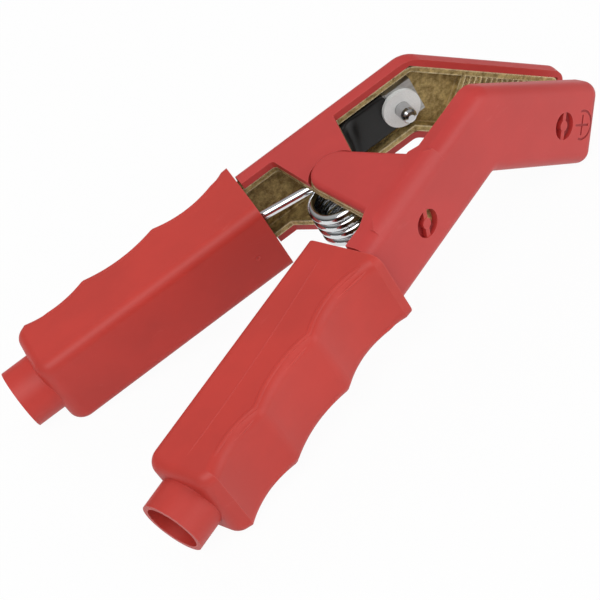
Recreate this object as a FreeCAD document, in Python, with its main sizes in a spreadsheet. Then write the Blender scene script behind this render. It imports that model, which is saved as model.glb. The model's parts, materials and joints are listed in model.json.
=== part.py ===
"""Insulated battery clamp with two brass jaws, red covers, grips and a coil spring.

Lengths are millimetres and angles are degrees. Each half is drawn in its own frame with
the pivot at the origin: X runs along the half towards the jaw, Y out through its web and
Z along the pivot pin. Half A has its web on +Y, half B is its mirror image on -Y.
"""
import FreeCAD, Part
import math
import os

import Sketcher

Vector = FreeCAD.Vector
Rotation = FreeCAD.Rotation
Placement = FreeCAD.Placement

DRIVING_SIZES = {
    # Halves and how they lie
    "splay": 12.05,
    "half_width": 15.2,
    "web_out": 33.3,
    "rim": 24.7,
    "cover_wall": 2.6,
    "brass_wall": 2.2,
    "corner_round": 5.0,
    "far_rim": 23.4,
    # Jaw, bent sideways from the half's straight part
    "jaw_bend": 45.0,
    "bend_at": 40.3,
    "jaw_half_width": 14.85,
    "jaw_reach": 61.5,
    "tip_round": 5.0,
    "bend_round_near": 11.0,
    "bend_round_far": 4.0,
    # Cover
    "cover_rear": 26.3,
    "raise_of_ear": 2.3,
    "ear_ramp": 4.9,
    "ear_web_round": 8.0,
    "ear_round": 1.8,
    "snap_hole": 5.0,
    "snap_bar": 1.7,
    "snap_boss": 1.9,
    "snap_at_mid": -0.3,
    "snap_drop": 1.2,
    "snap_at_jaw": 41.7,
    "post_hole": 2.4,
    "post": 1.7,
    # Pivot ears
    "ear_tip": 8.2,
    "ear_taper": 10.9,
    "gusset_run": 6.4,
    "gusset_drop": 9.8,
    "near_gusset_run": 3.0,
    "near_gusset_drop": 3.5,
    "ear_root": 28.0,
    "ear_proud": 0.4,
    "ear_step": 0.3,
    "ear_gap": 8.9,
    "knuckle_round": 2.0,
    "ear_clearance": 0.1,
    "ear_recess": 9.6,
    "pin": 3.0,
    "pin_clearance": 0.05,
    "pin_head": 5.0,
    "pin_head_tall": 1.3,
    "seat_clearance": 0.15,
    # Toothed pad and tail of the brass
    "pad_start": 18.0,
    "tooth_root": 26.0,
    "tooth_tall": 1.5,
    "tooth_pitch": 2.3,
    "tooth_count": 16,
    "brass_tail": 104.0,
    "crimp_start": 78.0,
    "crimp_low": 15.0,
    "crimp_wall": 1.8,
    # Grip
    "grip_front": 26.6,
    "grip_front_slant": 1.2,
    "grip_rear": 121.2,
    "grip_half_width": 15.25,
    "grip_inner": 8.0,
    "grip_wall": 2.2,
    "grip_lip": 39.45,
    "grip_lip_long": 3.0,
    "grip_peak": 36.75,
    "groove_floor": 34.05,
    "peak_one": 60.3,
    "peak_two": 90.2,
    "heel": 115.5,
    "heel_drop": 3.0,
    "heel_inset": 0.8,
    "grip_round": 4.0,
    "grip_heel_round": 5.5,
    "grip_rear_round": 6.0,
    "peak_round": 6.0,
    "spout_end": 131.6,
    "spout": 11.1,
    "spout_wall": 1.8,
    "spout_rise": 21.3,
    "cavity_end": 116.0,
    "cavity_clearance": 0.08,
    # Link between the jaws
    "stud": 2.85,
    "stud_at": 35.2,
    "stud_across": 0.7,
    "stud_tall": 7.0,
    "stud_head": 5.2,
    "stud_head_tall": 1.3,
    "washer": 7.3,
    "washer_thick": 1.5,
    "lug_thick": 2.6,
    "lug_wide": 15.0,
    "lug_front": 42.9,
    "lug_tongue": 28.0,
    "sleeve_front": 32.2,
    "sleeve_wide": 16.8,
    "sleeve_thick": 2.55,
    "sleeve_wall": 0.5,
    "link_cross": 11.4,
    "link_bend": 9.5,
    # Torsion spring
    "wire": 1.75,
    "coil": 9.4,
    "coil_back": 4.1,
    "coil_pitch": 3.8,
    "coil_turns": 4,
    "leg_lean": 11.3,
    "leg_straight": 30.0,
    "leg_bend": 20.0,
    "leg_end_lean": 22.5,
    "leg_clearance": 0.05,
}


class Size:
    """A length with its value and the expression that binds it to the sheet."""

    def __init__(self, text, value):
        self.text = text
        self.value = value

    def _join(self, other, sign, value, swapped=False):
        theirs = other.text if isinstance(other, Size) else repr(other)
        first, second = (theirs, self.text) if swapped else (self.text, theirs)
        return Size("(%s %s %s)" % (first, sign, second), value)

    def __add__(self, other):
        return self._join(other, "+", self.value + number(other))

    def __radd__(self, other):
        return self._join(other, "+", number(other) + self.value, True)

    def __sub__(self, other):
        return self._join(other, "-", self.value - number(other))

    def __rsub__(self, other):
        return self._join(other, "-", number(other) - self.value, True)

    def __mul__(self, other):
        return self._join(other, "*", self.value * number(other))

    def __rmul__(self, other):
        return self._join(other, "*", number(other) * self.value, True)

    def __truediv__(self, other):
        return self._join(other, "/", self.value / number(other))

    def __neg__(self):
        return self * -1


def number(size):
    return size.value if isinstance(size, Size) else float(size)


def of_angle(name, size):
    """Sine, cosine or tangent of an angle in degrees, as a bound value."""
    value = getattr(math, name)(math.radians(size.value))
    return Size("%s(%s)" % (name, size.text), value)


class Sizes:
    """The driving dimensions, each read by its name."""

    def __init__(self, sheet, table):
        for row, (name, value) in enumerate(table.items(), start=1):
            sheet.set("A%d" % row, name)
            sheet.set("B%d" % row, repr(value))
            sheet.setAlias("B%d" % row, name)
            setattr(self, name, Size("%s.%s" % (sheet.Name, name), value))


def new_body(name):
    body = doc.addObject("PartDesign::Body", name)
    body.Label = name
    return body


def bind(feature, path, size):
    if isinstance(size, Size):
        feature.setExpression(path, size.text)


def sketch_on(body, role, lift=0.0, turn=None):
    """A sketch on one of the body's own planes, lifted along the plane's normal.

    Role XY_Plane draws in X and Y and faces +Z, XZ_Plane draws in X and Z and faces -Y,
    and YZ_Plane draws in Y and Z and faces +X.
    """
    sketch = body.newObject("Sketcher::SketchObject", "Sketch")
    plane = [f for f in body.Origin.OriginFeatures if f.Role == role][0]
    sketch.AttachmentSupport = [(plane, "")]
    sketch.MapMode = "FlatFace"
    base = turn.multVec(Vector(0, 0, number(lift))) if turn else Vector(0, 0, number(lift))
    sketch.AttachmentOffset = Placement(base, turn or Rotation())
    if turn is None:
        bind(sketch, "AttachmentOffset.Base.z", lift)
    return sketch


def pin_point(sketch, edge, end, x, y):
    """Fix one end of an edge at X and Y, each bound to the sheet where it can be."""
    for kind, size in (("DistanceX", x), ("DistanceY", y)):
        index = sketch.addConstraint(Sketcher.Constraint(kind, -1, 1, edge, end, number(size)))
        bind(sketch, "Constraints[%d]" % index, size)


def draw_outline(sketch, points):
    """A closed outline of straight edges through the points."""
    spots = [Vector(number(x), number(y), 0) for x, y in points]
    count = len(points)
    first = sketch.GeometryCount
    for i in range(count):
        sketch.addGeometry(Part.LineSegment(spots[i], spots[(i + 1) % count]), False)
    for i in range(count):
        following = first + (i + 1) % count
        sketch.addConstraint(Sketcher.Constraint("Coincident", first + i, 2, following, 1))
    for i, (x, y) in enumerate(points):
        pin_point(sketch, first + i, 1, x, y)
    return sketch


def draw_disc(sketch, x, y, radius):
    circle = Part.Circle(Vector(number(x), number(y), 0), Vector(0, 0, 1), number(radius))
    edge = sketch.addGeometry(circle, False)
    pin_point(sketch, edge, 3, x, y)
    index = sketch.addConstraint(Sketcher.Constraint("Radius", edge, number(radius)))
    bind(sketch, "Constraints[%d]" % index, radius)
    return sketch


def extrude(body, kind, sketch, length, towards=0):
    """Pad or pocket a sketch up its plane's axis, down it, or half each way for 0."""
    feature = body.newObject("PartDesign::" + kind, kind)
    feature.Profile = sketch
    feature.Length = number(length)
    bind(feature, "Length", length)
    along_normal = (towards > 0) != (sketch.AttachmentSupport[0][0].Role == "XZ_Plane")
    feature.Reversed = along_normal == (kind == "Pocket")
    feature.Midplane = towards == 0
    doc.recompute()
    return feature


def round_edges(body, radius, wanted):
    """Round the edges of the body's last feature that the test picks out."""
    base = body.Tip
    names = ["Edge%d" % (i + 1) for i, edge in enumerate(base.Shape.Edges) if wanted(edge)]
    fillet = body.newObject("PartDesign::Fillet", "Fillet")
    fillet.Base = (base, names)
    fillet.Radius = number(radius)
    bind(fillet, "Radius", radius)
    doc.recompute()
    return fillet


def is_along(edge, axis):
    """True for a straight edge that runs along the axis."""
    if len(edge.Vertexes) < 2:
        return False
    chord = edge.Vertexes[1].Point - edge.Vertexes[0].Point
    return abs(edge.Length - abs(chord.dot(axis))) < 1e-6


def all_at(edge, value_of, value):
    """True for an edge that keeps one value all along, such as a level."""
    ends = (edge.FirstParameter, (edge.FirstParameter + edge.LastParameter) / 2, edge.LastParameter)
    return all(abs(value_of(edge.valueAt(t)) - value) < 1e-4 for t in ends)


doc = FreeCAD.newDocument("clamp")
sheet = doc.addObject("Spreadsheet::Sheet", "Sizes")
D = Sizes(sheet, DRIVING_SIZES)
doc.recompute()

BRASS_WEB = D.web_out - D.cover_wall
BRASS_FLOOR = BRASS_WEB - D.brass_wall
BRASS_HALF = D.half_width - D.cover_wall
FLANGE_IN = BRASS_HALF - D.brass_wall
EAR_B_IN = BRASS_HALF + D.ear_clearance
EAR_B_OUT = EAR_B_IN + D.brass_wall
EAR_B_COVER = D.half_width + D.raise_of_ear
BEND_SIN = of_angle("sin", D.jaw_bend)
BEND_COS = of_angle("cos", D.jaw_bend)
TAPER_SIN = of_angle("sin", D.ear_taper)
TAPER_COS = of_angle("cos", D.ear_taper)
TAPER_TAN = of_angle("tan", D.ear_taper)
THROUGH = 4 * D.half_width


def on_jaw(along, across):
    """A point of the bent jaw: along its middle line from the bend, and across it."""
    x = D.bend_at + along * BEND_COS + across * BEND_SIN
    z = across * BEND_COS - along * BEND_SIN
    return x, z


def bend_corners(inset):
    """Where the straight part's edges meet the jaw's: near and far X, and their distance."""
    straight, jaw = D.half_width - inset, D.jaw_half_width - inset
    shift = (jaw - straight * BEND_COS) / BEND_SIN
    return (D.bend_at + shift, straight), (D.bend_at - shift, straight)


def half_outline(inset, rear, reach=None):
    """The half seen from outside its web: straight part, bend and jaw, drawn in by inset."""
    near, far = bend_corners(inset)
    jaw = D.jaw_half_width - inset
    reach = reach or D.jaw_reach - inset
    return [(-rear, -far[1]), (far[0], -far[1]), on_jaw(reach, -jaw), on_jaw(reach, jaw), near,
            (-rear, near[1])]


def ear_edge(level, proud=0.0):
    """How far from the pivot an ear's tapered edge stands at a level."""
    return (D.ear_tip + proud) / TAPER_COS + level * TAPER_TAN


def ear_outline(side, top, proud):
    """A pivot ear's plate, down to where the round tip takes over."""
    root = ear_edge(top, proud)
    low_x = (D.ear_tip + proud) * TAPER_COS
    low_y = (D.ear_tip + proud) * TAPER_SIN * -side
    return [(-root, top * side), (root, top * side), (low_x, low_y), (-low_x, low_y)]


def add_half_block(body, side, inset, rear, low, high, kind="Pad"):
    """The bent outline as a slab between two levels of Y, added or taken away."""
    sketch = sketch_on(body, "XZ_Plane", -side * low)
    draw_outline(sketch, half_outline(inset, rear))
    return extrude(body, kind, sketch, high - low, side)


def add_ear(body, side, top, hand, thick, kind="Pad", proud=0.0):
    """One ear's plate and round tip, from the middle out to the near (1) or far (-1) side."""
    for draw in (lambda s: draw_outline(s, ear_outline(side, top, proud)),
                 lambda s: draw_disc(s, 0, 0, D.ear_tip + proud)):
        extrude(body, kind, draw(sketch_on(body, "XY_Plane")), thick, hand)


def add_ears(body, side, top, thick, kind="Pad", proud=0.0):
    for hand in (1, -1):
        add_ear(body, side, top, hand, thick, kind, proud)


def add_gusset(body, side, hand, rim, run, drop, outer, wall):
    """A slanted web in the corner between a flange's rim and the rear of its ear."""
    corner, foot = ear_edge(rim) + run, rim - drop
    plate = draw_outline(sketch_on(body, "XY_Plane", hand * outer), [
        (-corner, (D.rim + 1) * side), (-corner, rim * side), (-ear_edge(foot), foot * side),
        (-D.ear_tip, foot * side), (-D.ear_tip, (D.rim + 1) * side)])
    extrude(body, "Pad", plate, wall, -hand)


def add_far_rim(body, side, rear, outer, wall):
    """Behind its ear the far flange stands a little deeper than the near one."""
    corner = ear_edge(D.far_rim) + D.gusset_run
    strip = draw_outline(sketch_on(body, "XY_Plane", -outer), [
        (-rear, D.far_rim * side), (-corner, D.far_rim * side),
        (-corner, (D.rim + 1) * side), (-rear, (D.rim + 1) * side)])
    extrude(body, "Pad", strip, wall, 1)
    add_gusset(body, side, -1, D.far_rim, D.gusset_run, D.gusset_drop, outer, wall)


def round_knuckles(body, side, proud=0.0):
    """Ease the inner corner between the near flange's rim and its ear."""
    root = number(ear_edge(D.rim, proud))
    rim = number(D.rim) * side

    def at_knuckle(edge):
        spot = edge.Vertexes[0].Point
        middle = edge.valueAt((edge.FirstParameter + edge.LastParameter) / 2)
        return (is_along(edge, Vector(0, 0, 1)) and middle.z > 0
                and abs(abs(spot.x) - root) < 1e-4 and abs(spot.y - rim) < 1e-4)

    round_edges(body, D.knuckle_round, at_knuckle)


def cut_pivot_disc(body, radius, half_thick):
    disc = draw_disc(sketch_on(body, "XY_Plane"), 0, 0, radius)
    extrude(body, "Pocket", disc, 2 * half_thick)


def round_bend(body, inset):
    """Round the corners of a slab or pocket at the bend and at the jaw's tip."""
    near, far = bend_corners(inset)

    def corner_at(*wanted):
        spots = [number(x) for x in wanted]
        return lambda e: (is_along(e, Vector(0, 1, 0))
                          and min(abs(e.Vertexes[0].X - x) for x in spots) < 1e-4)

    round_edges(body, D.bend_round_near - inset, corner_at(near[0]))
    round_edges(body, D.bend_round_far + inset, corner_at(far[0]))
    ends = [on_jaw(D.jaw_reach - inset, (D.jaw_half_width - inset) * k)[0] for k in (1, -1)]
    round_edges(body, D.tip_round - inset, corner_at(*ends))


def snap_places():
    """Where the cover snaps into the brass: beside the pivot, and near the jaw's tip."""
    jaw_x, jaw_z = on_jaw(D.snap_at_jaw, 0 * D.half_width)
    return [("mid", D.snap_at_mid, -D.snap_drop), ("jaw", jaw_x, jaw_z)]


def add_snap(body, side, x, z, bar_turn):
    """A round window in the web, with a bar across it that carries a boss and a post."""
    window = draw_disc(sketch_on(body, "XZ_Plane", -side * (D.web_out + 1)), x, z, D.snap_hole)
    extrude(body, "Pocket", window, D.cover_wall + 2, -side)
    half_bar, reach = D.snap_bar / 2, D.snap_hole + 0.5
    turn = math.radians(bar_turn)
    corners = []
    for along, across in ((-1, -1), (1, -1), (1, 1), (-1, 1)):
        corners.append((x + along * reach * math.cos(turn) - across * half_bar * math.sin(turn),
                        z + along * reach * math.sin(turn) + across * half_bar * math.cos(turn)))
    bar = draw_outline(sketch_on(body, "XZ_Plane", -side * BRASS_WEB), corners)
    extrude(body, "Pad", bar, D.cover_wall - 0.4, side)
    boss = draw_disc(sketch_on(body, "XZ_Plane", -side * BRASS_WEB), x, z, D.snap_boss)
    extrude(body, "Pad", boss, D.cover_wall - 0.2, side)
    post = draw_disc(sketch_on(body, "XZ_Plane", -side * BRASS_WEB), x, z, D.post)
    extrude(body, "Pad", post, D.brass_wall, -side)


def make_cover(name, side, ear_in, ear_out):
    """A red cover: a bent tray over the brass, with an ear on each side of the pivot."""
    body = new_body(name)
    add_half_block(body, side, 0 * D.rim, D.cover_rear, D.rim, D.web_out)
    round_bend(body, 0 * D.rim)
    face_y = number(D.web_out) * side
    rear_x = -number(D.cover_rear)

    def on_web_rim(edge):
        return (all_at(edge, lambda p: p.y, face_y)
                and not all_at(edge, lambda p: p.x, rear_x))

    round_edges(body, D.corner_round, on_web_rim)
    add_far_rim(body, side, D.cover_rear, D.half_width, D.cover_wall)
    if ear_out is EAR_B_COVER:
        add_raised_ears(body, side)
    else:
        add_ears(body, side, D.web_out - D.corner_round, ear_out)
        round_knuckles(body, side)
    add_half_block(body, side, D.cover_wall, 2 * D.cover_rear, D.far_rim - 1, BRASS_WEB, "Pocket")
    if ear_out is EAR_B_COVER:
        add_ears(body, side, D.ear_root, ear_in, "Pocket", D.ear_proud)
    else:
        add_ears(body, side, BRASS_WEB, ear_in, "Pocket")
    if ear_out is EAR_B_COVER:
        cut_pivot_disc(body, D.pin_head + D.seat_clearance, ear_in + D.pin_head_tall + D.seat_clearance)
    else:
        cut_pivot_disc(body, D.ear_recess, THROUGH)
    add_stud_seat(body, side)
    for (_, x, z), bar_turn in zip(snap_places(), (68.0, 45.0)):
        add_snap(body, side, x, z, bar_turn)
    return body


def add_raised_ears(body, side):
    """The outer ears stand proud: the far one as a plate, the near one as a block with ramps."""
    face_z, rim = number(EAR_B_COVER), number(D.rim)
    add_ear(body, side, D.ear_root, -1, EAR_B_COVER)
    round_edges(body, D.ear_round, lambda e: all_at(e, lambda p: -p.z, face_z))
    add_ear(body, side, D.rim + 0.3, 1, EAR_B_COVER)

    def below_rim(edge):
        ends = (edge.valueAt(edge.FirstParameter), edge.valueAt(edge.LastParameter))
        return (all_at(edge, lambda p: p.z, face_z)
                and not all(abs(abs(p.y) - rim - 0.3) < 1e-4 for p in ends))

    round_edges(body, D.ear_round, below_rim)
    flat, foot = ear_edge(D.rim), ear_edge(D.rim) + D.ear_ramp
    deep = D.half_width - D.corner_round - 1
    ramps = draw_outline(sketch_on(body, "XZ_Plane", -side * D.rim), [
        (-foot, deep), (-foot, D.half_width), (-flat, EAR_B_COVER),
        (flat, EAR_B_COVER), (foot, D.half_width), (foot, deep)])
    extrude(body, "Pad", ramps, D.web_out - D.rim, side)
    cut_web_rounding(body, side, foot)


def cut_web_rounding(body, side, reach):
    """Take the raised block's long corner off to a wide radius."""
    sketch = sketch_on(body, "YZ_Plane")
    top, out = number(EAR_B_COVER), number(D.web_out)
    radius = number(D.ear_web_round)
    a, b = Vector((out - radius) * side, top, 0), Vector(out * side, top - radius, 0)
    middle = Vector((out - radius + radius * math.sqrt(0.5)) * side,
                    top - radius + radius * math.sqrt(0.5), 0)
    corner = [b, Vector((out + 2) * side, top - radius, 0), Vector((out + 2) * side, top + 2, 0),
              Vector((out - radius) * side, top + 2, 0), a]
    sketch.addGeometry(Part.Arc(a, middle, b), False)
    for first, second in zip(corner, corner[1:]):
        sketch.addGeometry(Part.LineSegment(first, second), False)
    centre = ((D.web_out - D.ear_web_round) * side, EAR_B_COVER - D.ear_web_round)
    pin_point(sketch, 0, 3, *centre)
    index = sketch.addConstraint(Sketcher.Constraint("Radius", 0, radius))
    bind(sketch, "Constraints[%d]" % index, D.ear_web_round)
    spots = [(D.web_out * side, centre[1]), ((D.web_out + 2) * side, centre[1]),
             ((D.web_out + 2) * side, EAR_B_COVER + 2), (centre[0], EAR_B_COVER + 2),
             (centre[0], EAR_B_COVER)]
    for i, (x, y) in enumerate(spots[:-1]):
        pin_point(sketch, i + 1, 1, x, y)
    pin_point(sketch, len(corner) - 1, 2, *spots[-1])
    for i in range(1, len(corner) - 1):
        sketch.addConstraint(Sketcher.Constraint("Coincident", i, 2, i + 1, 1))
    extrude(body, "Pocket", sketch, 2 * reach)


def add_stud_seat(body, side):
    """A round pocket inside the cover's web for the head of the link's stud."""
    seat = draw_disc(sketch_on(body, "XZ_Plane", -side * BRASS_WEB), D.stud_at, -D.stud_across,
                     D.stud_head + D.seat_clearance)
    extrude(body, "Pocket", seat, D.stud_head_tall + D.seat_clearance, side)


def make_jaw(name, side, outer_ears):
    """A brass half: a shallow bent channel with ears, a toothed jaw and a tail for the cable."""
    body = new_body(name)
    add_half_block(body, side, D.cover_wall, D.brass_tail, D.rim, BRASS_WEB)
    round_bend(body, D.cover_wall)
    add_far_rim(body, side, D.brass_tail, BRASS_HALF, D.brass_wall)
    if outer_ears:
        add_stepped_ears(body, side)
    else:
        add_ears(body, side, BRASS_WEB, BRASS_HALF)
        round_knuckles(body, side)
    add_channel(body, side)
    add_teeth(body, side)
    add_crimp(body, side)
    cut_pivot_disc(body, D.pin + D.pin_clearance, THROUGH)
    hole = draw_disc(sketch_on(body, "XZ_Plane", -side * (BRASS_WEB + 1)), D.stud_at, -D.stud_across,
                     D.stud + D.pin_clearance)
    extrude(body, "Pocket", hole, 2 * D.brass_wall, -side)
    for _, x, z in snap_places():
        hole = draw_disc(sketch_on(body, "XZ_Plane", -side * (BRASS_WEB + 1)), x, z, D.post_hole)
        extrude(body, "Pocket", hole, 2 * D.brass_wall, -side)
    return body


def add_stepped_ears(body, side):
    """Outer ears of two layers: a proud plate outside, and the flange inside it, set back."""
    add_ears(body, side, D.ear_root, EAR_B_OUT, proud=D.ear_proud)
    add_ears(body, side, D.rim, EAR_B_IN, "Pocket", D.ear_proud)
    add_ears(body, side, D.rim + 1, EAR_B_IN, proud=-D.ear_step)
    add_gusset(body, side, 1, D.rim, D.near_gusset_run, D.near_gusset_drop, BRASS_HALF, D.brass_wall)
    cut_pivot_disc(body, D.ear_gap, EAR_B_IN)


def add_channel(body, side):
    """Hollow the brass between its flanges: deep up to the teeth, shallow past them."""
    inset = D.cover_wall + D.brass_wall
    past_tip = D.ear_tip + 1
    sketch = draw_outline(sketch_on(body, "XZ_Plane", side * past_tip),
                          half_outline(inset, 2 * D.brass_tail, D.pad_start))
    extrude(body, "Pocket", sketch, BRASS_FLOOR + past_tip, side)
    width = D.jaw_half_width - inset
    reach = D.jaw_reach - inset
    shallow = [on_jaw(D.pad_start - 1, -width), on_jaw(reach, -width),
               on_jaw(reach, width), on_jaw(D.pad_start - 1, width)]
    sketch = draw_outline(sketch_on(body, "XZ_Plane", 0 * D.rim), shallow)
    extrude(body, "Pocket", sketch, D.tooth_root, side)


def add_teeth(body, side):
    """Saw teeth across the jaw, one drawn and the rest repeated along it."""
    width = D.jaw_half_width - D.cover_wall - D.brass_wall
    turn = Rotation(Vector(0, 1, 0), number(D.jaw_bend))
    sketch = sketch_on(body, "XY_Plane", -width, turn)
    sketch.AttachmentOffset = Placement(
        sketch.AttachmentOffset.Base + Vector(number(D.bend_at), 0, 0), turn)
    first = D.pad_start + 0.2
    floor, peak = D.tooth_root + 0.3, D.tooth_root - D.tooth_tall
    draw_outline(sketch, [(first, floor * side), (first + D.tooth_pitch, floor * side),
                          (first + D.tooth_pitch, D.tooth_root * side),
                          (first + D.tooth_pitch * 0.35, peak * side),
                          (first, D.tooth_root * side)])
    tooth = extrude(body, "Pad", sketch, 2 * width, 1)
    row = body.newObject("PartDesign::LinearPattern", "Teeth")
    row.Originals = [tooth]
    row.Direction = (sketch, ["H_Axis"])
    bind(row, "Length", D.tooth_pitch * (D.tooth_count - 1))
    bind(row, "Occurrences", D.tooth_count)
    body.Tip = row
    doc.recompute()


def add_crimp(body, side):
    """Two tall wings on the tail, which fold over the cable's bare end."""
    for hand in (-1, 1):
        z = hand * (BRASS_HALF - D.crimp_wall / 2)
        x0, x1 = -D.brass_tail, -D.crimp_start
        wing = draw_outline(sketch_on(body, "XY_Plane", z),
                            [(x0, D.crimp_low * side), (x1 - 4, D.crimp_low * side),
                             (x1, (D.crimp_low + 4) * side), (x1, (D.rim + 1) * side),
                             (x0, (D.rim + 1) * side)])
        extrude(body, "Pad", wing, D.crimp_wall)


def make_grip(name, side):
    """A moulded grip: three finger grooves outside, flat faces elsewhere, a round spout."""
    body = new_body(name)
    sketch = sketch_on(body, "XY_Plane")
    draw_grip_profile(sketch, side)
    extrude(body, "Pad", sketch, 2 * D.grip_half_width)
    across = Vector(0, 0, 1)
    peaks = [-number(D.peak_one), -number(D.peak_two)]
    round_edges(body, D.peak_round,
                lambda e: is_along(e, across) and min(abs(e.Vertexes[0].X - x) for x in peaks) < 1e-3)
    for radius, x in ((D.grip_heel_round, D.heel_inset - D.grip_rear), (D.grip_rear_round, -D.grip_rear)):
        round_edges(body, radius,
                    lambda e: is_along(e, across) and abs(e.Vertexes[0].X - number(x)) < 1e-3)
    half = number(D.grip_half_width)
    behind_front = -number(D.grip_front + D.grip_front_slant) - 0.01

    def on_side_rim(edge, hand):
        ends = (edge.valueAt(edge.FirstParameter), edge.valueAt(edge.LastParameter))
        return all_at(edge, lambda p: p.z * hand, half) and min(p.x for p in ends) < behind_front

    for hand in (1, -1):
        round_edges(body, D.grip_round, lambda e: on_side_rim(e, hand))
    spout = draw_disc(sketch_on(body, "YZ_Plane", -D.spout_end), side * D.spout_rise, 0, D.spout)
    extrude(body, "Pad", spout, D.spout_end - D.cavity_end - 0.7, 1)
    cavity_half = BRASS_HALF + D.cavity_clearance
    low = (D.grip_inner + D.grip_wall) * side
    high = (BRASS_WEB + D.cavity_clearance) * side
    cavity = draw_outline(sketch_on(body, "YZ_Plane", -D.cavity_end),
                          [(low, -cavity_half), (high, -cavity_half),
                           (high, cavity_half), (low, cavity_half)])
    extrude(body, "Pocket", cavity, D.cavity_end, 1)
    bore = draw_disc(sketch_on(body, "YZ_Plane", -D.spout_end - 1), side * D.spout_rise, 0,
                     D.spout - D.spout_wall)
    extrude(body, "Pocket", bore, D.spout_end - D.cavity_end + 2, 1)
    return body


def draw_grip_profile(sketch, side):
    """The grip's outline along its length: straight inner side, scalloped outer side."""
    front, rear = -D.grip_front, -D.grip_rear
    lip_x = front - D.grip_lip_long
    spots = [(front - D.grip_front_slant, D.grip_inner), (front, D.grip_lip),
             (lip_x, D.grip_lip - 0.3), (-D.peak_one, D.grip_peak), (-D.peak_two, D.grip_peak),
             (-D.heel, D.grip_peak), (rear + D.heel_inset, D.grip_peak - D.heel_drop),
             (rear, D.grip_inner)]
    grooves = {2, 3, 4}
    points = [Vector(number(x), number(y) * side, 0) for x, y in spots]
    count = len(spots)
    for i in range(count):
        a, b = points[i], points[(i + 1) % count]
        if i in grooves:
            middle = Vector((a.x + b.x) / 2, number(D.groove_floor) * side, 0)
            sketch.addGeometry(Part.Arc(a, middle, b), False)
        else:
            sketch.addGeometry(Part.LineSegment(a, b), False)
    for i, (x, y) in enumerate(spots):
        tail, head = arc_ends(sketch, i, points[i])
        pin_point(sketch, i, tail, x, y * side)
        last = (i - 1) % count
        _, last_head = arc_ends(sketch, last, points[last])
        sketch.addConstraint(Sketcher.Constraint("Coincident", last, last_head, i, tail))
    for i in grooves:
        bind_groove(sketch, i, spots[i], spots[i + 1])


def arc_ends(sketch, edge, start):
    """Which ends of an edge are its start and its end, since an arc may be stored turned."""
    tail_at = sketch.getPoint(edge, 1)
    return (1, 2) if (tail_at - start).Length < 1e-6 else (2, 1)


def bind_groove(sketch, edge, start, end):
    """Tie a groove's radius to its chord and depth."""
    chord = end[0] - start[0]
    depth = (start[1] + end[1]) / 2 - D.groove_floor
    radius = (chord * chord / 4 + depth * depth) / (2 * depth)
    geometry = sketch.Geometry[edge]
    index = sketch.addConstraint(Sketcher.Constraint("Radius", edge, geometry.Radius))
    bind(sketch, "Constraints[%d]" % index, radius)


def turned_body(name, role, lift, profile, axis_at):
    """A turned piece: half its section, revolved about an upright line of its sketch."""
    body = new_body(name)
    sketch = draw_outline(sketch_on(body, role, lift), profile)
    x = number(axis_at)
    line = sketch.addGeometry(Part.LineSegment(Vector(x, 0, 0), Vector(x, 10, 0)), True)
    pin_point(sketch, line, 1, axis_at, 0)
    pin_point(sketch, line, 2, axis_at, 10)
    turned = body.newObject("PartDesign::Revolution", "Revolution")
    turned.Profile = sketch
    turned.ReferenceAxis = (sketch, ["Axis0"])
    turned.Angle = 360.0
    doc.recompute()
    return body


def make_pivot_rivet():
    """The pivot pin, with a low head seated on each outer ear."""
    top = EAR_B_OUT
    head = top + D.pin_head_tall
    profile = [(0, -head), (D.pin_head * 0.7, -head), (D.pin_head, -top - D.pin_head_tall * 0.4),
               (D.pin_head, -top), (D.pin, -top), (D.pin, top), (D.pin_head, top),
               (D.pin_head, top + D.pin_head_tall * 0.4), (D.pin_head * 0.7, head), (0, head)]
    return turned_body("pivot_rivet", "XZ_Plane", 0.0, profile, 0.0)


def make_stud(name, side):
    """A round-ended stud through the web, the lug and the washer, with its head outside."""
    tip = BRASS_FLOOR - D.lug_thick - D.washer_thick - D.stud_tall
    outside = BRASS_WEB + D.stud_head_tall
    dome = [(D.stud * 0.42, tip), (D.stud * 0.77, tip + D.stud * 0.2), (D.stud * 0.95, tip + D.stud * 0.5),
            (D.stud, tip + D.stud)]
    section = [(0 * D.stud, tip)] + dome + [(D.stud, BRASS_WEB), (D.stud_head, BRASS_WEB),
                                            (D.stud_head, outside), (0 * D.stud, outside)]
    profile = [(D.stud_at + x, y * side) for x, y in section]
    return turned_body(name, "XY_Plane", -D.stud_across, profile, D.stud_at)


def make_washer(name, side):
    body = new_body(name)
    low = BRASS_FLOOR - D.lug_thick - D.washer_thick
    ring = draw_disc(sketch_on(body, "XZ_Plane", -side * low), D.stud_at, -D.stud_across, D.washer)
    draw_disc(ring, D.stud_at, -D.stud_across, D.stud + D.pin_clearance)
    extrude(body, "Pad", ring, D.washer_thick, side)
    return body


def make_lug(name, side):
    """A tinned lug: a square-ended plate on the floor, with a thinner tongue in the sleeve."""
    body = new_body(name)
    half = D.lug_wide / 2
    low = BRASS_FLOOR - D.lug_thick
    front, back = D.lug_front, D.sleeve_front + 0.2
    plate = draw_outline(sketch_on(body, "XZ_Plane", -side * low),
                         [(back, -half), (front, -half), (front, half), (back, half)])
    extrude(body, "Pad", plate, D.lug_thick, side)
    tongue_half = D.sleeve_wide / 2 - D.sleeve_wall
    under = (BRASS_FLOOR - D.sleeve_wall) * side
    over = (BRASS_FLOOR - D.sleeve_thick + D.sleeve_wall) * side
    tongue = draw_outline(sketch_on(body, "XY_Plane"), [(D.lug_tongue, under), (back + 1, under),
                                                        (back + 1, over), (D.lug_tongue, over)])
    extrude(body, "Pad", tongue, 2 * tongue_half - 1)
    hole = draw_disc(sketch_on(body, "XZ_Plane", -side * (BRASS_FLOOR + 1)), D.stud_at, -D.stud_across,
                     D.stud + D.pin_clearance)
    extrude(body, "Pocket", hole, D.lug_thick + 2, -side)
    return body


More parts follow.
